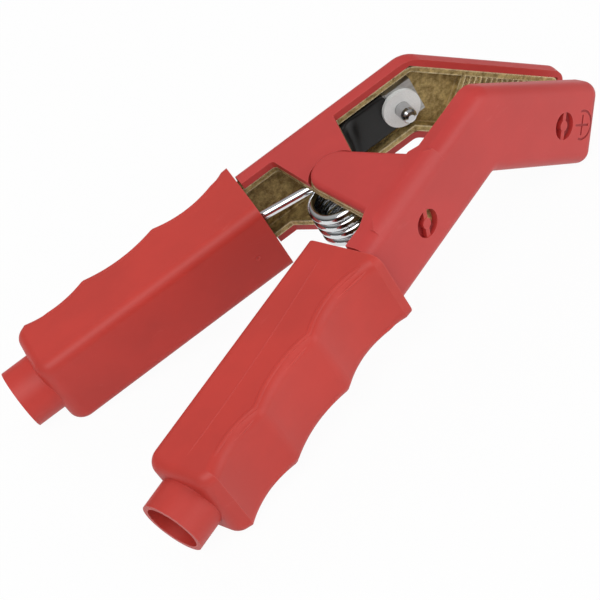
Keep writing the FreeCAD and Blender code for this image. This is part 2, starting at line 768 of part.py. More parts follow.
def half_point(side, x, y):
    """A point of one half's frame, at its height Y outwards, in the clamp's frame."""
    turn = math.radians(number(D.splay)) * side
    x, y = number(x), number(y) * side
    return Vector(x * math.cos(turn) + y * math.sin(turn), -x * math.sin(turn) + y * math.cos(turn), 0)


def link_face(thick, end_at):
    """The link's flat face across the clamp, as long as its two ends, seen along the pin."""
    level = BRASS_FLOOR - D.sleeve_thick / 2
    start = half_point(1, end_at, level)
    behind = half_point(1, end_at - 10, level)
    step = (start.x - number(D.link_cross)) / (start.x - behind.x)
    corner = start + (behind - start) * step
    bend = number(D.link_bend)
    inwards = (start - corner).normalize()
    down = Vector(0, -1, 0)
    turn = math.acos(inwards.dot(down))
    cut = bend / math.tan(turn / 2)
    centre = corner + (inwards + down).normalize() * (bend / math.sin(turn / 2))
    first, second = corner + inwards * cut, corner + down * cut
    edges = []
    for offset in (thick / 2, -thick / 2):
        edges.append(link_side(start, first, second, centre, offset))
    return edges


def link_side(start, first, second, centre, offset):
    """One long side of the link: straight, round the bend, across, and mirrored."""
    def shifted(point, from_point):
        away = (point - from_point).normalize()
        return point + away * offset

    a = start + (first - centre).normalize() * offset
    b, c = shifted(first, centre), shifted(second, centre)
    middle = centre + ((first + second) * 0.5 - centre).normalize() * (number(D.link_bend) + offset)
    mirrored = [Vector(p.x, -p.y, 0) for p in (a, b, middle, c)]
    return [Part.LineSegment(a, b).toShape(), Part.Arc(b, middle, c).toShape(),
            Part.LineSegment(c, mirrored[3]).toShape(),
            Part.Arc(mirrored[3], mirrored[2], mirrored[1]).toShape(),
            Part.LineSegment(mirrored[1], mirrored[0]).toShape()]


def link_solid(thick, wide, end_at):
    """A flat strap of the given section along the link's route."""
    near, far = link_face(thick, end_at)
    start_cap = Part.LineSegment(near[0].Vertexes[0].Point, far[0].Vertexes[0].Point).toShape()
    end_cap = Part.LineSegment(near[-1].Vertexes[-1].Point, far[-1].Vertexes[-1].Point).toShape()
    wire = Part.Wire(Part.__sortEdges__(near + far + [start_cap, end_cap]))
    face = Part.Face(wire)
    face.translate(Vector(0, 0, -wide / 2))
    return face.extrude(Vector(0, 0, wide))


def make_link():
    """The braided link between the jaws, and the black sleeve that it runs in."""
    wall = number(D.sleeve_wall)
    thick, wide = number(D.sleeve_thick), number(D.sleeve_wide)
    gap = 0.02
    braid = link_solid(thick - 2 * wall, wide - 2 * wall, D.lug_tongue - gap)
    cavity = link_solid(thick - 2 * wall, wide - 2 * wall, D.sleeve_front + 5)
    sleeve = link_solid(thick, wide, D.sleeve_front).cut(cavity)
    made = []
    for name, shape in (("link_braid", braid), ("link_sleeve", sleeve)):
        piece = doc.addObject("Part::Feature", name)
        piece.Label = name
        piece.Shape = shape
        made.append(piece)
    return made


def wire_arc(start, centre, axis, degrees):
    """A length of round wire bent round an axis, from the centre of its first end."""
    arm = start - centre
    ring = Part.makeCircle(number(D.wire), start, axis.cross(arm))
    return Part.Face(Part.Wire(ring)).revolve(centre, axis, degrees)


def coil_pieces(centre):
    """Flat ends and tilted half turns of the coil, each leaving where the next one starts."""
    coil, pitch = number(D.coil), number(D.coil_pitch)
    turns = int(number(D.coil_turns))
    low = -turns * pitch / 2
    lead_in = 90 - number(D.leg_lean) - number(D.splay)
    right = Vector(coil, 0, 0)
    up = Vector(0, 0, 1)
    first = centre + right + up * low
    pieces = [wire_arc(first, centre + up * low, -up, lead_in)]
    for i in range(2 * turns):
        arm = right if i % 2 == 0 else -right
        begin = centre + arm + up * (low + pitch * i / 2)
        finish = centre - arm + up * (low + pitch * (i + 1) / 2)
        axis = (begin - finish).normalize().cross(Vector(0, 1 if i % 2 == 0 else -1, 0))
        pieces.append(wire_arc(begin, (begin + finish) * 0.5, axis, 180))
    pieces.append(wire_arc(centre + right - up * low, centre - up * low, up, lead_in))
    return pieces


def leg_pieces(side, centre):
    """One leg: straight back from the coil, bent outwards, and on to the brass floor."""
    splay, lean = math.radians(number(D.splay)), math.radians(number(D.leg_lean))
    end_lean, height = math.radians(number(D.leg_end_lean)), side * number(D.coil_turns * D.coil_pitch) / 2
    level = Vector(0, 0, height)

    def heading(angle):
        return Vector(-math.cos(angle + splay), side * math.sin(angle + splay), 0)

    def outward(angle):
        return Vector(math.sin(angle + splay), side * math.cos(angle + splay), 0)

    root = centre + outward(lean) * number(D.coil) + level
    knee = root + heading(lean) * number(D.leg_straight)
    bend = number(D.leg_bend)
    pivot = knee + outward(lean) * bend
    bent = pivot - outward(end_lean) * bend
    web = half_point(side, 0, 1)
    reach = number(BRASS_FLOOR - D.leg_clearance) - bent.dot(web) - number(D.wire) * math.cos(end_lean)
    wire = number(D.wire)
    return [Part.makeCylinder(wire, number(D.leg_straight), root, heading(lean)),
            wire_arc(knee, pivot, Vector(0, 0, -side), math.degrees(end_lean - lean)),
            Part.makeCylinder(wire, reach / math.sin(end_lean), bent, heading(end_lean))]


def make_spring():
    """An open-wound torsion spring whose legs run back into the two grips."""
    centre = Vector(-number(D.coil_back), 0, 0)
    pieces = coil_pieces(centre) + leg_pieces(1, centre) + leg_pieces(-1, centre)
    spring = doc.addObject("Part::Feature", "torsion_spring")
    spring.Label = "torsion_spring"
    spring.Shape = pieces[0].multiFuse(pieces[1:])
    return spring


def build_all():
    """Every sub-part, with the half that it belongs to: 1 for A, -1 for B, 0 for neither."""
    made = []
    for letter, side, outer in (("a", 1, False), ("b", -1, True)):
        ear_in, ear_out = (EAR_B_OUT, EAR_B_COVER) if outer else (BRASS_HALF, D.half_width)
        made += [(make_jaw("jaw_" + letter, side, outer), side),
                 (make_cover("cover_" + letter, side, ear_in, ear_out), side),
                 (make_grip("grip_" + letter, side), side),
                 (make_stud("stud_" + letter, side), side),
                 (make_washer("washer_" + letter, side), side),
                 (make_lug("lug_" + letter, side), side)]
    made.append((make_pivot_rivet(), 0))
    made += [(piece, 0) for piece in make_link()]
    made.append((make_spring(), 0))
    return made


def lowest(shape, tilt):
    copy = shape.copy()
    copy.rotate(Vector(0, 0, 0), Vector(0, 1, 0), -tilt)
    return copy.optimalBoundingBox(False).ZMin


def resting_tilt(front, rear):
    """The tilt at which the jaw's tip and the grip's heel touch the same level."""
    low, high = 0.0, 30.0
    for _ in range(30):
        tilt = (low + high) / 2
        if lowest(front, tilt) < lowest(rear, tilt):
            low = tilt
        else:
            high = tilt
    return tilt


def place_all(made):
    """Splay the halves, lay the clamp down on its far side and centre it over its origin."""
    for piece, side in made:
        piece.Placement = Placement(Vector(), Rotation(Vector(0, 0, 1), -side * number(D.splay)))
    shapes = {piece.Label: piece.Shape for piece, _ in made}
    tilt = resting_tilt(shapes["cover_a"], shapes["grip_a"])
    lay = Placement(Vector(), Rotation(Vector(0, 1, 0), -tilt))
    for piece, _ in made:
        piece.Placement = lay * piece.Placement
    box = Part.Compound([piece.Shape for piece, _ in made]).optimalBoundingBox(False)
    shift = Placement(-Vector(box.Center.x, box.Center.y, box.ZMin), Rotation())
    for piece, _ in made:
        piece.Placement = shift * piece.Placement
    print("tilt %.3f, pivot at %s, box %s" % (tilt, shift.Base, box))


def write_parts(made):
    doc.recompute()
    for thing in doc.Objects:
        if "Invalid" in thing.State or "Error" in thing.State:
            raise RuntimeError("%s is %s" % (thing.Label, thing.State))
    os.makedirs("parts", exist_ok=True)
    for piece, _ in made:
        if piece.Shape.isNull() or not piece.Shape.isValid():
            raise RuntimeError(piece.Label + " has no valid shape")
        piece.Shape.exportStep("parts/%s.step" % piece.Label)


def main():
    made = build_all()
    place_all(made)
    write_parts(made)


main()
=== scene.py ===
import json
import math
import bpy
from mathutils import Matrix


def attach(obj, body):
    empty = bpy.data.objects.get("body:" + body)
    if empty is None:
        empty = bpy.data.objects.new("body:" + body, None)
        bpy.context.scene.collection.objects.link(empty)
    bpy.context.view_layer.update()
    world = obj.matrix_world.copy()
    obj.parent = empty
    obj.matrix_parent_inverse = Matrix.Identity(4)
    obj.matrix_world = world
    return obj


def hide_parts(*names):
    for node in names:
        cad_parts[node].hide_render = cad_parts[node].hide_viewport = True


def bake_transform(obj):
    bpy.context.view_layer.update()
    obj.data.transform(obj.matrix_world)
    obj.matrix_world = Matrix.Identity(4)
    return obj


bl_info = {
    "name": "Battery clamp",
    "version": (1, 0, 0),
    "blender": (4, 5, 0),
    "location": "3D View > Sidebar > Clamp",
    "description": "Looks of a red battery clamp: brass, moulded covers and grips, spring and link",
    "category": "Add Mesh",
}

import bpy
from mathutils import Euler, Matrix, Vector

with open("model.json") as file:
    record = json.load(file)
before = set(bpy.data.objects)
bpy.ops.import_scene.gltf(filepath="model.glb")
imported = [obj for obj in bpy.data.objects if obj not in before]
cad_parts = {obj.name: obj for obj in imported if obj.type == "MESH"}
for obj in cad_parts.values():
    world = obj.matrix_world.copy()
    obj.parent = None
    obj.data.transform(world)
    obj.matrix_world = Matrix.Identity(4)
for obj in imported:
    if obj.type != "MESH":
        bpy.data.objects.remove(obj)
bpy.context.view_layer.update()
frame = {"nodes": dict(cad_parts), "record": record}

# Where the clamp's own axes lie: the pivot, the lean of its pin and the splay of each half
PIVOT = Vector(frame["record"]["behaviour"]["joints"][0]["pos_m"])
PIN_AXIS = Vector(frame["record"]["behaviour"]["joints"][0]["axis"]).normalized()
LEAN = math.atan2(-PIN_AXIS.x, PIN_AXIS.z)
SPLAY = math.radians(12.05)
HALF_A, HALF_B = 1, -1
MM = 0.001


def clamp_matrix():
    """From the clamp's own axes, with Z along the pivot pin, to the model's frame."""
    return Matrix.Translation(PIVOT) @ Matrix.Rotation(-LEAN, 4, "Y")


def half_matrix(side):
    """From a half's own frame, with X along it and Y towards half A, to the model's frame."""
    return clamp_matrix() @ Matrix.Rotation(-side * SPLAY, 4, "Z")


def in_half(side, x, out, z):
    """A point of a half in millimetres, its second value outwards through the web."""
    return half_matrix(side) @ Vector((x * MM, out * side * MM, z * MM))


# Sockets and materials

class Maths:
    """A number socket that can be used in Python expressions."""

    def __init__(self, paint, socket):
        self.paint, self.socket = paint, socket

    def _with(self, operation, other, swapped=False):
        values = [other, self] if swapped else [self, other]
        return self.paint.number(operation, *values)

    def __add__(self, other):
        return self._with("ADD", other)

    def __radd__(self, other):
        return self._with("ADD", other, True)

    def __rsub__(self, other):
        return self._with("SUBTRACT", other, True)

    def __mul__(self, other):
        return self._with("MULTIPLY", other)


class Paint:
    """A material's node tree, with the object's own coordinates at hand."""

    def __init__(self, name):
        self.material = bpy.data.materials.new(name)
        self.material.use_nodes = True
        self.tree = self.material.node_tree
        self.tree.nodes.clear()
        self.output = self.tree.nodes.new("ShaderNodeOutputMaterial")
        self.shader = self.tree.nodes.new("ShaderNodeBsdfPrincipled")
        self.tree.links.new(self.shader.outputs["BSDF"], self.output.inputs["Surface"])
        self.place = self.node("ShaderNodeTexCoord").outputs["Object"]

    def node(self, kind, settings=None, **sockets):
        """A new node: From_Min feeds the input of that name, and _2 feeds the third input."""
        made = self.tree.nodes.new(kind)
        for key, value in (settings or {}).items():
            setattr(made, key, value)
        for key, value in sockets.items():
            self.feed(made.inputs[int(key[1:]) if key[0] == "_" else key.replace("_", " ")], value)
        return made

    def feed(self, socket, value):
        """Link a socket to an input, or set the input to a plain value."""
        if isinstance(value, Maths):
            value = value.socket
        if isinstance(value, bpy.types.NodeSocket):
            self.tree.links.new(value, socket)
        else:
            socket.default_value = value

    def number(self, operation, *values):
        """The result of a Math node."""
        made = self.node("ShaderNodeMath", {"operation": operation},
                         **{"_%d" % i: value for i, value in enumerate(values)})
        return Maths(self, made.outputs[0])

    def ramp(self, value, low, high):
        """0 below low, 1 above high and a smooth step between them."""
        made = self.node("ShaderNodeMapRange", {"interpolation_type": "SMOOTHSTEP"},
                         Value=value, From_Min=low, From_Max=high)
        return Maths(self, made.outputs[0])

    def noise(self, scale, detail, rough, stretch=None):
        """Noise in the object's own space, drawn out along an axis where stretch is below 1."""
        where = self.place
        if stretch:
            where = self.node("ShaderNodeMapping", Vector=where, Scale=stretch).outputs[0]
        made = self.node("ShaderNodeTexNoise", Vector=where, Scale=scale, Detail=detail, Roughness=rough)
        return Maths(self, made.outputs["Fac"])

    def mix(self, factor, first, second):
        """The first colour where the factor is 0, the second where it is 1."""
        made = self.node("ShaderNodeMix", {"data_type": "RGBA", "blend_type": "MIX"},
                         _0=factor, _6=colour(first), _7=colour(second))
        return made.outputs[2]

    def edges(self, width):
        """Near 1 on edges and corners that stick out or in, 0 on flat faces."""
        soft = self.node("ShaderNodeBevel", {"samples": 4}, Radius=width).outputs[0]
        sharp = self.node("ShaderNodeNewGeometry").outputs["Normal"]
        across = self.node("ShaderNodeVectorMath", {"operation": "DOT_PRODUCT"}, _0=soft, _1=sharp)
        return 1 - Maths(self, across.outputs["Value"])

    def bump(self, height, strength, distance):
        """The surface's normal, tilted by the slopes of a height."""
        made = self.node("ShaderNodeBump", Strength=strength, Distance=distance, Height=height)
        return made.outputs[0]

    def finish(self, **sockets):
        """Feed the shader's own sockets, and give back the material."""
        for key, value in sockets.items():
            self.feed(self.shader.inputs[key.replace("_", " ")], value)
        return self.material


def colour(value):
    """A plain colour gets its alpha; a socket stays as it is."""
    return (*value, 1.0) if isinstance(value, (tuple, list)) and len(value) == 3 else value


def shade(value, share):
    """A darker colour of the same hue."""
    return tuple(v * share for v in value)


def dress(node, material):
    """Give a CAD node its material."""
    thing = frame["nodes"][node]
    thing.data.materials.clear()
    thing.data.materials.append(material)


# The moulded plastic's paler reds, on its flow marks, its edges (partly wear, partly painted highlight) and
# scuffs
FLOW_RED = (0.66, 0.10, 0.09)
WORN_AND_HIGHLIGHT_RED = (0.74, 0.17, 0.15)
SCUFF_RED = (0.72, 0.2, 0.18)


def moulded_red(name, base, deep, rough):
    """Moulded plastic: fine grain, faint flow marks, paler edges that are partly wear and partly a painted
    highlight, and a soft sheen.
    """
    paint = Paint(name)
    cloud = paint.noise(scale=30.0, detail=4.0, rough=0.6)
    flow = paint.noise(scale=16.0, detail=3.0, rough=0.55, stretch=(0.35, 1.0, 1.0))
    grain = paint.noise(scale=3200.0, detail=2.0, rough=0.6)
    tone = paint.mix(paint.ramp(cloud, 0.3, 0.7), deep, base)
    tone = paint.mix(paint.ramp(flow, 0.52, 0.75) * 0.18, tone, FLOW_RED)
    # Paler red along edges and corners: partly wear, partly a painted highlight
    wear_and_highlight = paint.ramp(paint.edges(width=0.0007), 0.01, 0.09)
    tone = paint.mix(wear_and_highlight * 0.2, tone, WORN_AND_HIGHLIGHT_RED)
    scratches = paint.noise(scale=240.0, detail=5.0, rough=0.7, stretch=(0.25, 1.0, 1.0))
    scuff = paint.ramp(scratches, 0.62, 0.74)
    tone = paint.mix(scuff * 0.10, tone, SCUFF_RED)
    return paint.finish(Base_Color=tone, Roughness=rough + cloud * 0.08 + scuff * 0.06,
                        Normal=paint.bump(grain * 0.7 + flow * 0.3, strength=0.10, distance=0.0002),
                        IOR=1.5, Specular_IOR_Level=0.44)


def recess_shade_red(name, dark, light):
    """A darker, more saturated red: painted shade inside the windows and in the sunk sign."""
    paint = Paint(name)
    soft = paint.noise(scale=300.0, detail=3.0, rough=0.5)
    tone = paint.mix(soft, dark, light)
    return paint.finish(Base_Color=tone, Roughness=0.5 + soft * 0.1)


# The brass's colours: its mottle, stains, flecks in the pits and bright edges, partly ground wear and partly
# painted highlight
BRASS_DARK = (0.25, 0.17, 0.06)
BRASS_LIGHT = (0.70, 0.54, 0.24)
BRASS_STAIN = (0.17, 0.115, 0.05)
BRASS_FLECK = (0.90, 0.78, 0.48)
BRASS_WORN_EDGE_HIGHLIGHT = (0.95, 0.83, 0.55)


def cast_brass():
    """Rough cast brass: olive brown and mottled, bright along its edges, partly as ground wear and partly as
    a painted highlight.
    """
    paint = Paint("cast_brass")
    patches = paint.noise(scale=380.0, detail=7.0, rough=0.74)
    stains = paint.noise(scale=80.0, detail=5.0, rough=0.65)
    pits = paint.noise(scale=1500.0, detail=4.0, rough=0.75)
    tone = paint.mix(paint.ramp(patches, 0.32, 0.68), BRASS_DARK, BRASS_LIGHT)
    tone = paint.mix(paint.ramp(stains, 0.5, 0.72) * 0.35, tone, BRASS_STAIN)
    tone = paint.mix(paint.ramp(pits, 0.60, 0.72) * 0.7, tone, BRASS_FLECK)
    # Bright colour along the edges: partly ground wear, partly a painted highlight of the rounded rim
    edge_wear_and_highlight = paint.ramp(paint.edges(width=0.0011), 0.01, 0.16)
    tone = paint.mix(edge_wear_and_highlight * paint.ramp(patches, 0.3, 0.5), tone, BRASS_WORN_EDGE_HIGHLIGHT)
    rough = 0.50 - edge_wear_and_highlight * 0.2 + pits * 0.2
    return paint.finish(Base_Color=tone, Metallic=0.75, Roughness=rough,
                        Normal=paint.bump(patches * 0.45 + pits * 0.55, strength=0.9, distance=0.0008))


def bright_metal(name, base, rough, spread, grain):
    """Plated or turned metal, with a slight drift in its tone and shine."""
    paint = Paint(name)
    drift = paint.noise(scale=220.0, detail=3.0, rough=0.5)
    fine = paint.noise(scale=2400.0, detail=3.0, rough=0.6)
    tone = paint.mix(drift, shade(base, 0.86), base)
    return paint.finish(Base_Color=tone, Metallic=1.0, Roughness=rough + drift * spread,
                        Normal=paint.bump(fine, strength=grain, distance=0.0001))


def sanded_zinc():
    """Zinc plating with a fine sandy grain."""
    paint = Paint("zinc_plate")
    sand = paint.noise(scale=5200.0, detail=3.0, rough=0.8)
    drift = paint.noise(scale=180.0, detail=3.0, rough=0.5)
    tone = paint.mix(paint.ramp(sand, 0.35, 0.65), (0.78, 0.80, 0.79), (0.98, 0.99, 0.98))
    return paint.finish(Base_Color=tone, Metallic=0.1, Roughness=0.46 + drift * 0.1,
                        Normal=paint.bump(sand, strength=0.35, distance=0.0002))


def brushed_tin():
    """Tin plating, brushed along the lug and a little dulled."""
    paint = Paint("tin_plate")
    brush = paint.noise(scale=420.0, detail=4.0, rough=0.65, stretch=(0.12, 1.0, 1.0))
    dull = paint.noise(scale=90.0, detail=4.0, rough=0.6)
    tone = paint.mix(paint.ramp(brush, 0.3, 0.7), (0.34, 0.34, 0.33), (0.62, 0.62, 0.61))
    tone = paint.mix(paint.ramp(dull, 0.5, 0.7) * 0.4, tone, (0.36, 0.35, 0.33))
    return paint.finish(Base_Color=tone, Metallic=0.85, Roughness=0.34 + brush * 0.14,
                        Normal=paint.bump(brush, strength=0.25, distance=0.0002))


def shrunk_sleeve():
    """Black shrunk sleeve, satin, with soft creases and a fine grain."""
    paint = Paint("shrunk_sleeve")
    soft = paint.noise(scale=160.0, detail=4.0, rough=0.6)
    fine = paint.noise(scale=2200.0, detail=2.0, rough=0.5)
    tone = paint.mix(soft, (0.006, 0.006, 0.006), (0.013, 0.0125, 0.012))
    return paint.finish(Base_Color=tone, Roughness=0.30 + soft * 0.16, Specular_IOR_Level=0.34,
                        Normal=paint.bump(soft * 0.7 + fine * 0.3, strength=0.3, distance=0.0004))


# Working with pieces

def clear_selection():
    if bpy.context.object and bpy.context.object.mode != "OBJECT":
        bpy.ops.object.mode_set(mode="OBJECT")
    bpy.ops.object.select_all(action="DESELECT")


def pick(piece):
    """Leave one piece alone selected and active."""
    clear_selection()
    piece.select_set(True)
    bpy.context.view_layer.objects.active = piece


def start_piece(name):
    """Name the primitive just added, and fix its place in its mesh."""
    piece = bpy.context.object
    piece.name = name
    piece.data.name = name
    bpy.ops.object.transform_apply(location=True, rotation=True, scale=True)
    return piece


def select_edges(piece, longer_than):
    """Select, in object mode, the edges that are longer than a length, and nothing else."""
    mesh = piece.data
    for group in (mesh.vertices, mesh.edges, mesh.polygons):
        for one in group:
            one.select = False
    for edge in mesh.edges:
        first, last = (mesh.vertices[i].co for i in edge.vertices)
        edge.select = (first - last).length > longer_than


def edit(piece, mode):
    """Open one piece in edit mode, to select its vertices, edges or faces."""
    pick(piece)
    bpy.ops.object.mode_set(mode="EDIT")
    bpy.ops.mesh.select_mode(type=mode)


def done_editing():
    bpy.ops.object.mode_set(mode="OBJECT")


def close_up(piece):
    """Merge doubles and turn every face outwards."""
    edit(piece, "VERT")
    bpy.ops.mesh.select_all(action="SELECT")
    bpy.ops.mesh.remove_doubles(threshold=0.002 * MM)
    bpy.ops.mesh.normals_make_consistent(inside=False)
    done_editing()


def smooth(piece, degrees):
    """Shade smooth, with edges steeper than the angle kept sharp."""
    pick(piece)
    bpy.ops.object.shade_smooth_by_angle(angle=math.radians(degrees))


def place(piece, matrix, material, body):
    """Move the finished mesh to its place, give it its material and let it ride."""
    piece.data.transform(matrix)
    piece.data.materials.clear()
    piece.data.materials.append(material)
    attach(piece, body)


def copy_of(node, name):
    """A CAD node's mesh as a piece of its own, with its loose triangles merged."""
    source = frame["nodes"][node]
    piece = bpy.data.objects.new(name, source.data.copy())
    bpy.context.scene.collection.objects.link(piece)
    edit(piece, "VERT")
    bpy.ops.mesh.select_all(action="SELECT")
    bpy.ops.mesh.customdata_custom_splitnormals_clear()
    bpy.ops.mesh.remove_doubles(threshold=0.001 * MM)
    done_editing()
    return piece


def cut_away(piece, cutter):
    """Cut one closed mesh out of another, and drop the cutter."""
    pick(piece)
    tool = piece.modifiers.new("cut", "BOOLEAN")
    tool.operation = "DIFFERENCE"
    tool.solver = "EXACT"
    tool.use_self = True
    tool.object = cutter
    bpy.ops.object.modifier_apply(modifier=tool.name)
    bpy.data.objects.remove(cutter)


def bead(name, lines, thick):
    """Round beads along lines of points, each with a share of the thickness."""
    curve = bpy.data.curves.new(name, "CURVE")
    curve.dimensions = "3D"
    curve.bevel_depth = thick
    curve.bevel_resolution = 3
    curve.use_fill_caps = True
    for line in lines:
        spline = curve.splines.new("POLY")
        spline.points.add(len(line) - 1)
        for point, (spot, share) in zip(spline.points, line):
            point.co = (*spot, 1.0)
            point.radius = share
    piece = bpy.data.objects.new(name, curve)
    bpy.context.scene.collection.objects.link(piece)
    pick(piece)
    bpy.ops.object.convert(target="MESH")
    piece = bpy.context.object
    close_up(piece)
    smooth(piece, degrees=60)
    return piece


# The stage

SENSOR_WIDTH = 36.0
# How much of the floor's seen colour is plain white
FLOOR_WHITE = 0.96
# Each lamp's name, place, width and share of the power; all of them face the clamp
LAMPS = (("key_lamp", (-0.65, -0.55, 1.05), 0.9, 0.42),
         ("fill_lamp", (0.8, -1.1, 0.45), 1.0, 0.34),
         ("back_lamp", (0.1, 1.0, 0.9), 0.8, 0.24))
# What shiny things see of the sky: its strength by the height they look at
GLOSSY_SKY = (("From Min", 0.25), ("From Max", 0.85), ("To Min", 0.10), ("To Max", 0.6))
# A number Mix node's first and second value, among its inputs
MIX_FIRST, MIX_SECOND = 2, 3


class StageSizes(bpy.types.PropertyGroup):
    eye: bpy.props.FloatVectorProperty(
        name="Camera place", description="Where the camera stands, in the clamp's own axes",
        unit="LENGTH", default=(-0.170328, -0.488917, 0.440768))
    turn: bpy.props.FloatVectorProperty(
        name="Camera turn", description="The camera's rotation in the clamp's own axes",
        subtype="EULER", default=tuple(math.radians(v) for v in (42.469826, 25.009231, -40.247726)))
    lens: bpy.props.FloatProperty(
        name="Lens", description="Focal length in millimetres on a 36 mm sensor", default=119.68)
    floor: bpy.props.FloatProperty(
        name="Floor", description="Width of the pale floor", default=8.0, unit="LENGTH")
    lamps: bpy.props.FloatProperty(
        name="Lamps", description="Power of the three lamps together", default=21.0, min=0.0)
    sky: bpy.props.FloatProperty(
        name="Sky", description="Strength of the even light all round", default=0.46, min=0.0)


class CLAMP_OT_stage(bpy.types.Operator):
    """Make the floor, the soft studio light and the camera"""
    bl_idname = "clamp.stage"
    bl_label = "Stage"

    def execute(self, context):
        sizes = context.scene.clamp_stage
        data = bpy.data.cameras.new("camera")
        data.lens = sizes.lens
        data.sensor_width = SENSOR_WIDTH
        data.sensor_fit = "HORIZONTAL"
        data.clip_end = 50.0
        camera = bpy.data.objects.new("camera", data)
        context.scene.collection.objects.link(camera)
        turn = Euler(sizes.turn).to_matrix().to_4x4()
        camera.matrix_world = clamp_matrix() @ Matrix.Translation(sizes.eye) @ turn
        context.scene.camera = camera
        self.make_floor(sizes.floor)
        self.make_lamps(context, sizes.lamps)
        self.make_world(context, sizes.sky)
        context.scene.view_settings.view_transform = "Standard"
        return {"FINISHED"}

    def make_floor(self, width):
        """A grey floor that takes shadows, and looks almost white to the eye and in metal."""
        clear_selection()
        bpy.ops.mesh.primitive_plane_add(size=width, location=(0, 0, 0))
        floor = bpy.context.object
        floor.name = "floor"
        paint = Paint("pale_floor")
        light = paint.node("ShaderNodeLightPath").outputs
        white = paint.node("ShaderNodeEmission", Color=(1, 1, 1, 1), Strength=1.0).outputs[0]
        seen = paint.number("MAXIMUM", light["Is Camera Ray"], light["Is Glossy Ray"])
        seen = paint.number("MAXIMUM", seen, light["Is Transmission Ray"])
        both = paint.node("ShaderNodeMixShader", _0=seen * FLOOR_WHITE, _1=paint.shader.outputs[0], _2=white)
        paint.tree.links.new(both.outputs[0], paint.output.inputs["Surface"])
        paint.finish(Base_Color=(0.82, 0.82, 0.82, 1.0), Roughness=0.9)
        floor.data.materials.append(paint.material)

    def make_lamps(self, context, power):
        """Soft square lamps; the one at the back stays out of reflections."""
        for name, spot, width, share in LAMPS:
            data = bpy.data.lights.new(name, "AREA")
            data.size, data.energy = width, power * share
            lamp = bpy.data.objects.new(name, data)
            lamp.location = spot
            lamp.rotation_euler = (-Vector(spot)).to_track_quat("-Z", "Y").to_euler()
            lamp.visible_glossy = name != "back_lamp"
            context.scene.collection.objects.link(lamp)

    def make_world(self, context, sky):
        """Even light, seen as white; shiny metal sees it darken towards the horizon."""
        world = bpy.data.worlds.new("studio")
        context.scene.world = world
        world.use_nodes = True
        tree = world.node_tree
        tree.nodes.clear()
        out = tree.nodes.new("ShaderNodeOutputWorld")
        back = tree.nodes.new("ShaderNodeBackground")
        path = tree.nodes.new("ShaderNodeLightPath")
        spot = tree.nodes.new("ShaderNodeTexCoord")
        apart = tree.nodes.new("ShaderNodeSeparateXYZ")
        tree.links.new(spot.outputs["Generated"], apart.inputs[0])
        dim = tree.nodes.new("ShaderNodeMapRange")
        dim.interpolation_type = "SMOOTHSTEP"
        tree.links.new(apart.outputs["Z"], dim.inputs["Value"])
        for name, value in GLOSSY_SKY:
            dim.inputs[name].default_value = value
        shiny = tree.nodes.new("ShaderNodeMix")
        shiny.inputs[MIX_FIRST].default_value = sky
        tree.links.new(path.outputs["Is Glossy Ray"], shiny.inputs[0])
        tree.links.new(dim.outputs[0], shiny.inputs[MIX_SECOND])
        either = tree.nodes.new("ShaderNodeMath")
        either.operation = "MAXIMUM"
        tree.links.new(path.outputs["Is Camera Ray"], either.inputs[0])
        tree.links.new(path.outputs["Is Transmission Ray"], either.inputs[1])
        level = tree.nodes.new("ShaderNodeMix")
        level.inputs[MIX_SECOND].default_value = 1.0
        tree.links.new(either.outputs[0], level.inputs[0])
        tree.links.new(shiny.outputs[0], level.inputs[MIX_FIRST])
        tree.links.new(level.outputs[0], back.inputs["Strength"])
        tree.links.new(back.outputs[0], out.inputs["Surface"])


# The clamp's pieces

class RedPlastic(bpy.types.PropertyGroup):
    cover: bpy.props.FloatVectorProperty(
        name="Cover", description="Colour of the covers", subtype="COLOR", size=3, min=0, max=1,
        default=(0.55, 0.047, 0.042))
    grip: bpy.props.FloatVectorProperty(
        name="Grip", description="Colour of the grips", subtype="COLOR", size=3, min=0, max=1,
        default=(0.56, 0.044, 0.032))
    mark_depth: bpy.props.FloatProperty(
        name="Mark depth", description="How deep the sign is sunk into the front cover",
        default=0.22 * MM, unit="LENGTH")
    ridge: bpy.props.FloatProperty(
        name="Ridge", description="Radius of the bead along the finger grooves",
        default=0.95 * MM, unit="LENGTH")


class CLAMP_OT_brass(bpy.types.Operator):
    """Finish the two brass halves"""
    bl_idname = "clamp.brass"
    bl_label = "Brass halves"

    def execute(self, context):
        brass = cast_brass()
        dress("jaw_a", brass)
        dress("jaw_b", brass)
        return {"FINISHED"}


class CLAMP_OT_mouldings(bpy.types.Operator):
    """Finish the red covers and grips"""
    bl_idname = "clamp.mouldings"
    bl_label = "Covers and grips"

    def execute(self, context):
        red = context.scene.clamp_red
        cover = moulded_red("cover_red", tuple(red.cover), shade(red.cover, 0.9), rough=0.42)
        grip = moulded_red("grip_red", tuple(red.grip), shade(red.grip, 0.88), rough=0.46)
        dress("cover_a", cover)
        for letter in "ab":
            dress("grip_" + letter, grip)
        self.engrave_cover(cover, red.mark_depth)
        return {"FINISHED"}

    def engrave_cover(self, material, depth):
        """The front cover with a plus in a ring sunk into its web near the jaw's tip; the sunk faces take a
        darker red, a painted shade.
        """
        piece = copy_of("cover_b", "front_cover")
        for cutter in (ring_cutter(depth), bar_cutter("arm", 0.0, depth),
                       bar_cutter("upright", 90.0, depth + UPRIGHT_EXTRA)):
            cut_away(piece, cutter)
        smooth(piece, degrees=35)
        piece.data.materials.clear()
        piece.data.materials.append(material)
        # The sunk faces of the sign get a darker red: painted shade in the grooves
        piece.data.materials.append(recess_shade_red("sunk_shade_red", (0.30, 0.014, 0.015), (0.36, 0.020, 0.020)))
        flat = mark_matrix(0.0).inverted()
        for face in piece.data.polygons:
            face.material_index = int(on_sign(flat @ face.center / MM))
        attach(piece, "half_b")
        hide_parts("cover_b")


# How far out the covers' faces lie from the pin, and where and how much a half bends
WEB_OUT = 33.3
BEND_AT = 40.3
BEND = math.radians(45.0)

